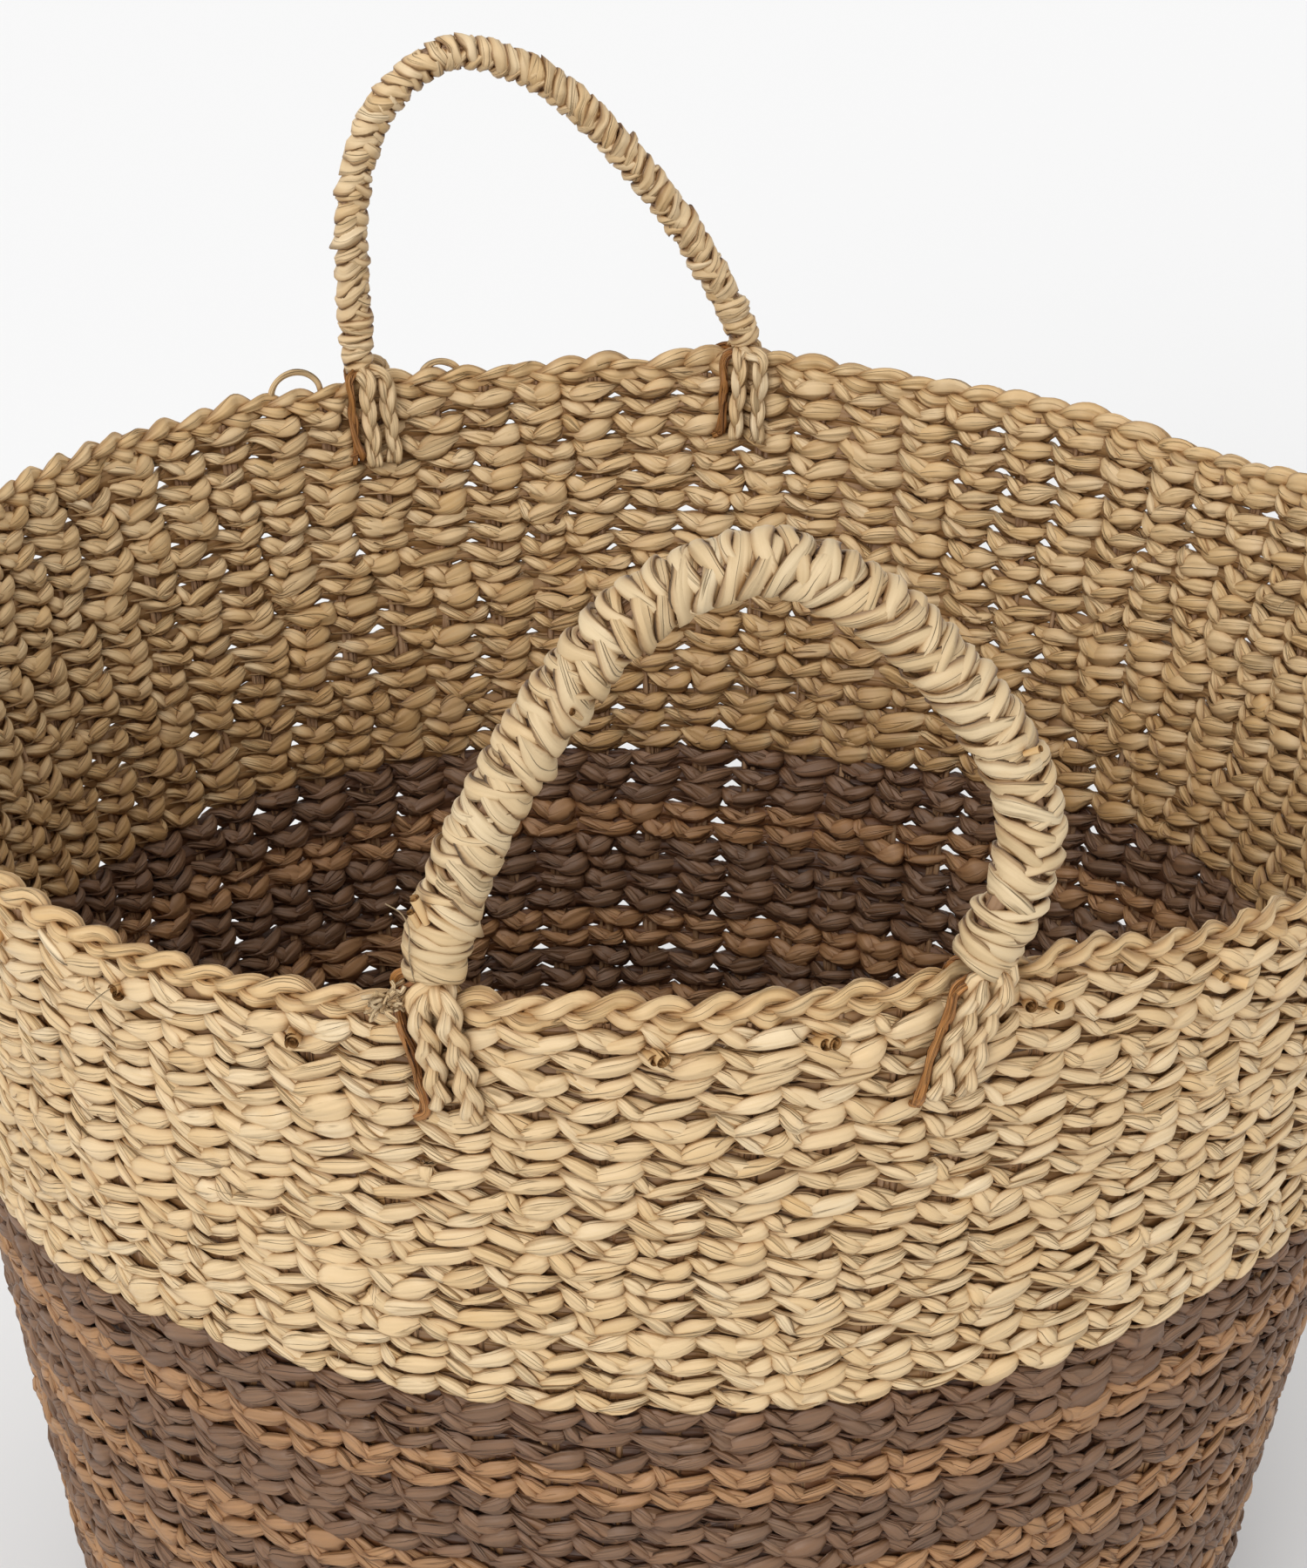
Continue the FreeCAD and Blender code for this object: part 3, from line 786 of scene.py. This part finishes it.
def add_wrap_turn(bundle, route, at, draw, lean, level, width, thick, radius):
    """One turn of a folded strip round the handle, leaning one way across its face.

    route is the hoop's distances, points, tangents and outer directions, and at the turn's distance.
    A positive level lifts the strip on the hoop's outer side, where it crosses over its neighbours.
    """
    samples = TURN_SAMPLES
    phi = np.linspace(0, TURN, samples, endpoint=False) + math.pi
    place = at + lean * np.cos(phi) + 0.2 * lean * np.cos(2 * phi + draw.uniform(0, TURN))
    gone, *lines = route
    mid, tangent, outer = [np.stack([np.interp(place, gone, row) for row in line.T], -1) for line in lines]
    outer = unit(outer)
    face = np.cross(unit(tangent), outer)
    spoke = np.cos(phi)[:, None] * outer + np.sin(phi)[:, None] * face
    lift = level * (np.cos(phi) * 0.8 + 0.35 * np.cos(2 * phi)) + draw.normal(0, 0.2 * MM)
    loop = mid + spoke * (radius + lift + cyclic(draw.normal(0, 0.18 * MM, 8), samples))[:, None]
    across = unit(np.cross(loop_tangent(loop), spoke))
    ridges = 1 + cyclic(draw.normal(0, 0.15, (12, TURN_AROUND)), samples)
    pinch = 1 + cyclic(draw.normal(0, 0.14, 6), samples)
    taper = 1 - 0.28 * np.cos(phi) * np.sign(lean)
    wide = width / 2 * pinch * taper
    turn = TURN * np.arange(TURN_AROUND)[None, :] / TURN_AROUND
    roll = cyclic(draw.normal(0.32 * np.sign(lean), 0.15, 5), samples)[:, None]
    flat = wide[:, None] * np.cos(turn) * ridges
    dome = thick * np.sign(np.sin(turn)) * np.abs(np.sin(turn)) ** 1.3 * ridges
    points = (loop[:, None, :] + (flat * np.cos(roll) - dome * np.sin(roll))[..., None] * across[:, None, :]
              + (dome * np.cos(roll) + flat * np.sin(roll))[..., None] * spoke[:, None, :])
    # painted shade: a little where the turn passes the hoop's outer and inner sides, and a lot along the
    # strip's two edges
    edge = np.abs(np.cos(phi)) ** 4 * 0.35
    look = np.stack([np.full(samples, draw.normal()), np.full(samples, draw.normal()), edge], -1)
    along = np.arange(samples) / samples * TURN * radius + draw.uniform(0, 1)
    bundle.grid(points, edged(look, TURN_AROUND, 1.7, 0.25), along, 2 * width, closed_along=True)


def build_handle(handle, material, seed):
    """The core bundle, two crossing families of wrapped strips, and the thicker foot bindings."""
    draw = np.random.default_rng(seed)
    centre, gone = smooth_route(handle.route(), 1.5 * MM)
    tangent = unit(np.gradient(centre, axis=0))
    face = np.broadcast_to(handle.outward, centre.shape)
    outer = unit(np.cross(face, tangent))
    route = (gone, centre, tangent, outer)
    length = gone[-1]

    core = Bundle(handle.name + "_core_bundle")
    inside = (gone > 2 * MM) & (gone < length - 2 * MM)
    strand = handle.wrap_radius * 0.4
    for k in range(CORE_STRANDS):
        angle = TURN * k / CORE_STRANDS
        offset = handle.wrap_radius * 0.42
        path = centre + offset * (math.cos(angle) * outer + math.sin(angle) * face)
        add_strand(core, path[inside][::3], handle.outward, strand, strand, draw, around=8)
    ob = core.build(STAKE)
    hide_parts(handle.name + "_core")
    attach(ob, handle.name)

    parts = ("wrap", "left_cuff", "right_cuff")
    bundles = {part: Bundle("%s_%s_strips" % (handle.name, part)) for part in parts}
    slant = handle.pitch / 2
    at = WRAP_INSET
    while at < length - WRAP_INSET:
        part = "left_cuff" if at < CUFF_LENGTH else "right_cuff" if at > length - CUFF_LENGTH else "wrap"
        bundle = bundles[part]
        swell = (1.0 if part == "wrap" else 1.08) * min(1.0, 0.78 + 0.22 * min(at, length - at) / (10 * MM))
        radius = handle.wrap_radius * swell - 1.5 * MM
        if part == "wrap":
            broad = handle.strip * draw.uniform(1.05, 1.3)
            slender = handle.strip * draw.uniform(0.55, 0.8)
            add_wrap_turn(bundle, route, at, draw, slant + draw.normal(0, 0.5 * MM), -0.3 * MM,
                          broad, 1.6 * MM, radius)
            add_wrap_turn(bundle, route, at + slant, draw, -slant + draw.normal(0, 0.6 * MM), 0.9 * MM,
                          slender, 1.4 * MM, radius)
            at += handle.pitch * draw.uniform(0.9, 1.1)
        else:
            add_wrap_turn(bundle, route, at, draw, draw.normal(0, 1.2 * MM), 0.0,
                          handle.strip * draw.uniform(0.6, 1.0), 1.5 * MM, radius)
            at += handle.pitch / 2
    for part, bundle in bundles.items():
        ob = bundle.build(material)
        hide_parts("%s_%s" % (handle.name, part))
        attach(ob, handle.name)


# ---------- cords at the handles' feet
# (leg, its two plaits, its fibre tie): places along the rim at the top and at the lower end, and how far
# down it reaches, in millimetres
FRONT_LEGS = (
    ("left", ((-79.5, -73.5, 33.0), (-71.5, -64.0, 37.0)), (-85.5, -78.0, 38.0)),
    ("right", ((80.0, 69.5, 34.0), (87.5, 77.0, 34.0)), (74.0, 64.0, 37.0)),
)
BACK_LEGS = (
    ("left", ((-76.0, -73.5, 30.0), (-68.5, -65.5, 29.0)), (-82.0, -80.0, 27.0)),
    ("right", ((71.0, 69.0, 27.0), (78.5, 77.0, 28.0)), (65.5, 63.0, 26.0)),
)
PLAIT_RADIUS = 2.7 * MM
TIE_RADIUS = 1.2 * MM
TIE_FIBRES = 6


def foot_route(handle, face, radius, pivot_along, top, bottom, depth):
    """From under the cuff, over the rim and down the wall, on its outer face (1) or its inner face (-1)."""
    route = [handle.point(pivot_along * MM, HANDLE_OUT + face * 3 * MM, 6 * MM)]
    spots = ((0.0, 1.5, 2.6), (0.2, -7.0, 3.0), (0.6, -0.55 * depth, 1.0), (0.95, -depth, 0.2),
             (1.0, -depth - 2.5, -2.2))
    for share, level, lift in spots:
        along = (top + (bottom - top) * share) * MM
        half = WALL / 2 + radius + lift * 0.35 * MM
        r = MID_TOP + TAPER * min(level, 0) * MM + face * half
        point = handle.point(along, math.sqrt(r * r - along * along), level * MM)
        theta = math.atan2(point[0], -point[1])
        point[2] += float(rim_wave(theta)) * (1 - max(-level, 0) * MM / RIM_WAVE_REACH) ** RIM_WAVE_FADE
        route.append(point)
    return route


def bend_with(piece):
    """Bakes a foot cord's transform into its mesh and leaves it attached to no body."""
    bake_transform(piece)


def build_foot_cords(handle, legs, thick, seed):
    """Two short plaits and a brown fibre on each face of the wall, at both feet of a handle."""
    draw = np.random.default_rng(seed)
    end = handle.name.removesuffix("_handle")
    for leg, plaits, tie in legs:
        pivot_along = handle.line[1][0] if leg == "left" else handle.line[-2][0]
        for face_name, face in (("outer", 1), ("inner", -1)):
            for number, spread in enumerate(plaits, start=1):
                node = "%s_%s_%s_plait_%d" % (end, leg, face_name, number)
                bundle = Bundle(node + "_plies")
                route = foot_route(handle, face, PLAIT_RADIUS, pivot_along, *spread)
                add_plait(bundle, route, handle.outward, 0.28 * thick, 0.38 * thick, draw)
                ob = bundle.build(NATURAL)
                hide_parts(node)
                bend_with(ob)
        node = "%s_%s_fibre_tie" % (end, leg)
        bundle = Bundle(node + "_fibres")
        for face in (1, -1):
            route = foot_route(handle, face, TIE_RADIUS, pivot_along, *tie)
            for _ in range(TIE_FIBRES):
                fray = [p + draw.normal(0, 0.7 * MM, 3) for p in route]
                fray[-1] = fray[-1] + draw.normal(0, 1.6 * MM, 3) * np.array([1, 0.3, 1])
                centre = smooth_route(fray, 1.5 * MM)[0]
                add_strand(bundle, centre, handle.outward, draw.uniform(0.35, 0.7) * MM,
                           draw.uniform(0.6, 1.4) * MM, draw, around=6, rough=0.3, piece_length=4 * MM)
        ob = bundle.build(FIBRE)
        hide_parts(node)
        bend_with(ob)


# ---------- curled leaf ends
# degrees from +X towards +Y
CUT_END_ANGLES = (12, 27, 41, 54, 68, 86, 98, 119, 132, 147, 160, 174, 189,
                  201, 216, 229, 241, 264, 274, 288, 301, 313, 328, 342, 355)


def build_cut_ends():
    """Short leaf ends, rolled like paper, that stick out under the rim."""
    draw = np.random.default_rng(640)
    bundle = Bundle("curled_leaf_ends")
    for degrees in CUT_END_ANGLES:
        theta = math.radians(degrees) + TURN / 4
        for _ in range(2):
            angle = theta + draw.normal(0, 3 * MM) / RIM_RADIUS
            s = np.full(1, BRAID_HEIGHT + draw.uniform(5, 9) * MM)
            outward, upward = surface_frame(np.array([angle]), s)
            sideways = np.cross(upward, outward)[0]
            base = surface(np.array([angle]), s, 0.5 * MM)[0]
            lean = unit(outward[0] + upward[0] * draw.uniform(-0.1, 0.5) + sideways * draw.uniform(-0.6, 0.9))
            tip = base + lean * draw.uniform(7, 9.5) * MM
            add_scroll(bundle, base, tip, draw.uniform(1.9, 2.7) * MM, draw)
    ob = bundle.build(NATURAL)
    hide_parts("cut_leaf_ends")
    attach(ob, "basket")


def add_scroll(bundle, start, end, radius, draw):
    """A thin leaf rolled up on itself, open at its end."""
    axis = unit(end - start)
    hint = unit(np.cross(axis, [0.3, 0.2, 0.9]))
    other = np.cross(axis, hint)
    turns = 1.6
    steps = 22
    sheet = 0.25 * MM
    phi = np.linspace(0, TURN * turns, steps) + draw.uniform(0, TURN)
    grow = np.linspace(0.35, 1.0, steps)
    loop = np.concatenate([np.arange(steps), np.arange(steps)[::-1]])
    depth = np.concatenate([np.zeros(steps), np.full(steps, sheet)])
    rings = []
    for share in np.linspace(0, 1, 6):
        flare = radius * (0.8 + 0.25 * share)
        r = flare * grow[loop] - depth
        ring = (start + (end - start) * share)[None, :] + (r * np.cos(phi[loop]))[:, None] * hint
        ring = ring + (r * np.sin(phi[loop]))[:, None] * other
        rings.append(ring + axis * draw.normal(0, 0.2 * MM))
    points = np.stack(rings)
    look = np.tile([draw.normal(-0.5, 1), 4.0, 0.4], (len(points), 1))
    bundle.grid(points, look, np.linspace(0, 6 * MM, len(points)), 12 * MM)


# ---------- loose ends and fibres
STRAY_FIBRES = 150
TUFT_FIBRES = 34


def build_stray_fibres():
    """Fine dry fibres that stand off the rim and the upper wall."""
    draw = np.random.default_rng(808)
    bundle = Bundle("stray_fibres")
    for _ in range(STRAY_FIBRES):
        theta = draw.uniform(0, TURN)
        s = np.full(1, draw.uniform(-2, 150) * MM)
        outside = 1 if draw.uniform() < 0.75 else -1
        start = surface(np.array([theta]), s, outside * 3.5 * MM)[0]
        outward, upward = surface_frame(np.array([theta]), s)
        sideways = np.cross(upward, outward)[0]
        heading = unit(sideways * draw.choice((-1, 1)) + outward[0] * outside * draw.uniform(0.1, 0.5)
                       + upward[0] * draw.uniform(-0.4, 0.6))
        bend = draw.normal(0, 1, 3) * 0.25
        reach = draw.uniform(4, 13) * MM
        route = [start + heading * reach * t + bend * reach * t * t for t in (0, 0.35, 0.7, 1.0)]
        centre = smooth_route(route, 1.5 * MM)[0]
        add_strand(bundle, centre, outward[0], 0.11 * MM, 0.16 * MM, draw, around=4, rough=0.0)
    ob = bundle.build(NATURAL)
    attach(ob, "basket")


def build_frayed_tuft():
    """The crumpled leaf ends pushed out at the left of the front handle's left foot."""
    draw = np.random.default_rng(812)
    bundle = Bundle("frayed_tuft")
    for _ in range(TUFT_FIBRES):
        along = draw.uniform(-92, -84)
        start = FRONT.point(along * MM, HANDLE_OUT + draw.uniform(5, 8) * MM, draw.uniform(-2, 3) * MM)
        route = [start]
        for _ in range(3):
            route.append(route[-1] + draw.normal(0, 1, 3) * np.array([1.5, 1.0, 1.5]) * MM)
        centre = smooth_route(route, 0.8 * MM)[0]
        add_strand(bundle, centre, FRONT.outward, draw.uniform(0.2, 0.5) * MM, draw.uniform(0.4, 0.9) * MM,
                   draw, around=6, rough=0.25, piece_length=3 * MM)
    ob = bundle.build(NATURAL)
    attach(ob, "basket")


def build_handle_ends():
    """Four rolled strip ends and one long fibre that stand off the front handle.

    Their points are along the handle, out from its plane and above the rim, in millimetres.
    """
    draw = np.random.default_rng(818)
    bundle = Bundle("front_handle_strip_ends")

    def points_of(places):
        return [FRONT.point(along * MM, HANDLE_OUT + out * MM, up * MM) for along, out, up in places]

    rolls = (((-78.0, 5.0, 22.0), (-81.0, 7.0, 29.0), 1.6), ((-76.5, 7.0, 25.0), (-80.0, 9.0, 34.0), 1.9),
             ((-33.0, 8.0, 88.0), (-35.5, 11.5, 91.5), 1.4), ((90.0, 8.0, 76.0), (94.0, 11.5, 79.0), 1.3))
    for start, end, radius in rolls:
        add_scroll(bundle, *points_of((start, end)), radius * MM, draw)
    fibre = ((-79.5, 6, 4), (-81.5, 8, 14), (-81.5, 9, 24), (-83.5, 9.5, 29.5), (-88, 9, 32.5))
    centre = smooth_route(points_of(fibre), 1.2 * MM)[0]
    add_strand(bundle, centre, FRONT.outward, 0.16 * MM, 0.22 * MM, draw, around=4, rough=0.0)
    ob = bundle.build(NATURAL)
    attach(ob, "front_handle")


def build_rim_loops():
    """Two slack loops of leaf on the far side of the rim."""
    draw = np.random.default_rng(815)
    bundle = Bundle("rim_loops")
    for degrees, wide, tall in ((205.5, 11, 9), (193.0, 8, 6)):
        theta = math.radians(degrees)
        route = []
        for k in range(9):
            angle = math.pi * k / 8
            shift = -math.cos(angle) * wide * MM / RIM_RADIUS
            lift = math.sin(angle) * tall * MM - 3 * MM
            route.append(surface(np.array([theta + shift]), np.zeros(1), 0.5 * MM, lift)[0])
        centre = smooth_route(route, 1.2 * MM)[0]
        outward = (math.sin(theta), -math.cos(theta), 0)
        add_strand(bundle, centre, outward, 0.8 * MM, 1.3 * MM, draw, rough=0.15)
    ob = bundle.build(NATURAL)
    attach(ob, "basket")


# ---------- put together
build_stakes()
build_rim_braid()
build_handle(FRONT, HANDLE, 701)
build_handle(BACK, NATURAL, 702)
build_foot_cords(FRONT, FRONT_LEGS, 6.8 * MM, 711)
build_foot_cords(BACK, BACK_LEGS, 5.4 * MM, 712)
build_cut_ends()
build_stray_fibres()
build_frayed_tuft()
build_handle_ends()
build_rim_loops()
for band, bundle in weave():
    material, slot_name = band_material(band)
    rows = bundle.build(material)
    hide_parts(band)
    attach(rows, "basket")


# ---------- camera, floor and light
CAMERA_AT = Vector((-138.94 * MM, -1405.42 * MM, HEIGHT + 594.24 * MM))
CAMERA_AIM = Vector((-5.0 * MM, -19.9 * MM, HEIGHT - 48.3 * MM))
CAMERA_ROLL = math.radians(0.25)
LENS = 103.9                # millimetres, on Blender's 36 mm film

camera_data = bpy.data.cameras.new("camera")
camera_data.lens = LENS
camera = bpy.data.objects.new("camera", camera_data)
bpy.context.scene.collection.objects.link(camera)
camera.location = CAMERA_AT
look_down = (CAMERA_AIM - CAMERA_AT).to_track_quat("-Z", "Y").to_matrix().to_4x4()
camera.matrix_world = Matrix.Translation(CAMERA_AT) @ look_down @ Matrix.Rotation(CAMERA_ROLL, 4, "Z")
bpy.context.scene.camera = camera


def plain(name, colour, rough):
    """A smooth material of one colour."""
    mat = bpy.data.materials.new(name)
    mat.use_nodes = True
    shader = mat.node_tree.nodes["Principled BSDF"]
    shader.inputs["Base Color"].default_value = colour + (1,)
    shader.inputs["Roughness"].default_value = rough
    shader.inputs["Specular IOR Level"].default_value = 0.1
    return mat


FLOOR_SIZE = 24.0
floor_mesh = bpy.data.meshes.new("floor")
half = FLOOR_SIZE / 2
corners = [(-half, -half, 0), (half, -half, 0), (half, half, 0), (-half, half, 0)]
floor_mesh.from_pydata(corners, [], [(0, 1, 2, 3)])
floor_mesh.materials.append(plain("floor", (0.845, 0.845, 0.845), 0.9))
floor = bpy.data.objects.new("floor", floor_mesh)
bpy.context.scene.collection.objects.link(floor)

world = bpy.data.worlds.new("world")
bpy.context.scene.world = world
world.use_nodes = True
background = world.node_tree.nodes["Background"]
background.inputs["Color"].default_value = (1, 1, 1, 1)
background.inputs["Strength"].default_value = 0.84


def add_sun(name, strength, softness, tilt, turn):
    """A wide distant light: tilt is its angle from overhead, turn its bearing from the front."""
    data = bpy.data.lights.new(name, "SUN")
    data.energy = strength
    data.angle = math.radians(softness)
    light = bpy.data.objects.new(name, data)
    light.rotation_euler = (math.radians(tilt), 0, math.radians(turn))
    bpy.context.scene.collection.objects.link(light)


add_sun("high_light", 0.55, 40, 35, -40)
add_sun("front_light", 1.2, 24, 69, -22)

bpy.context.scene.view_settings.view_transform = "Standard"
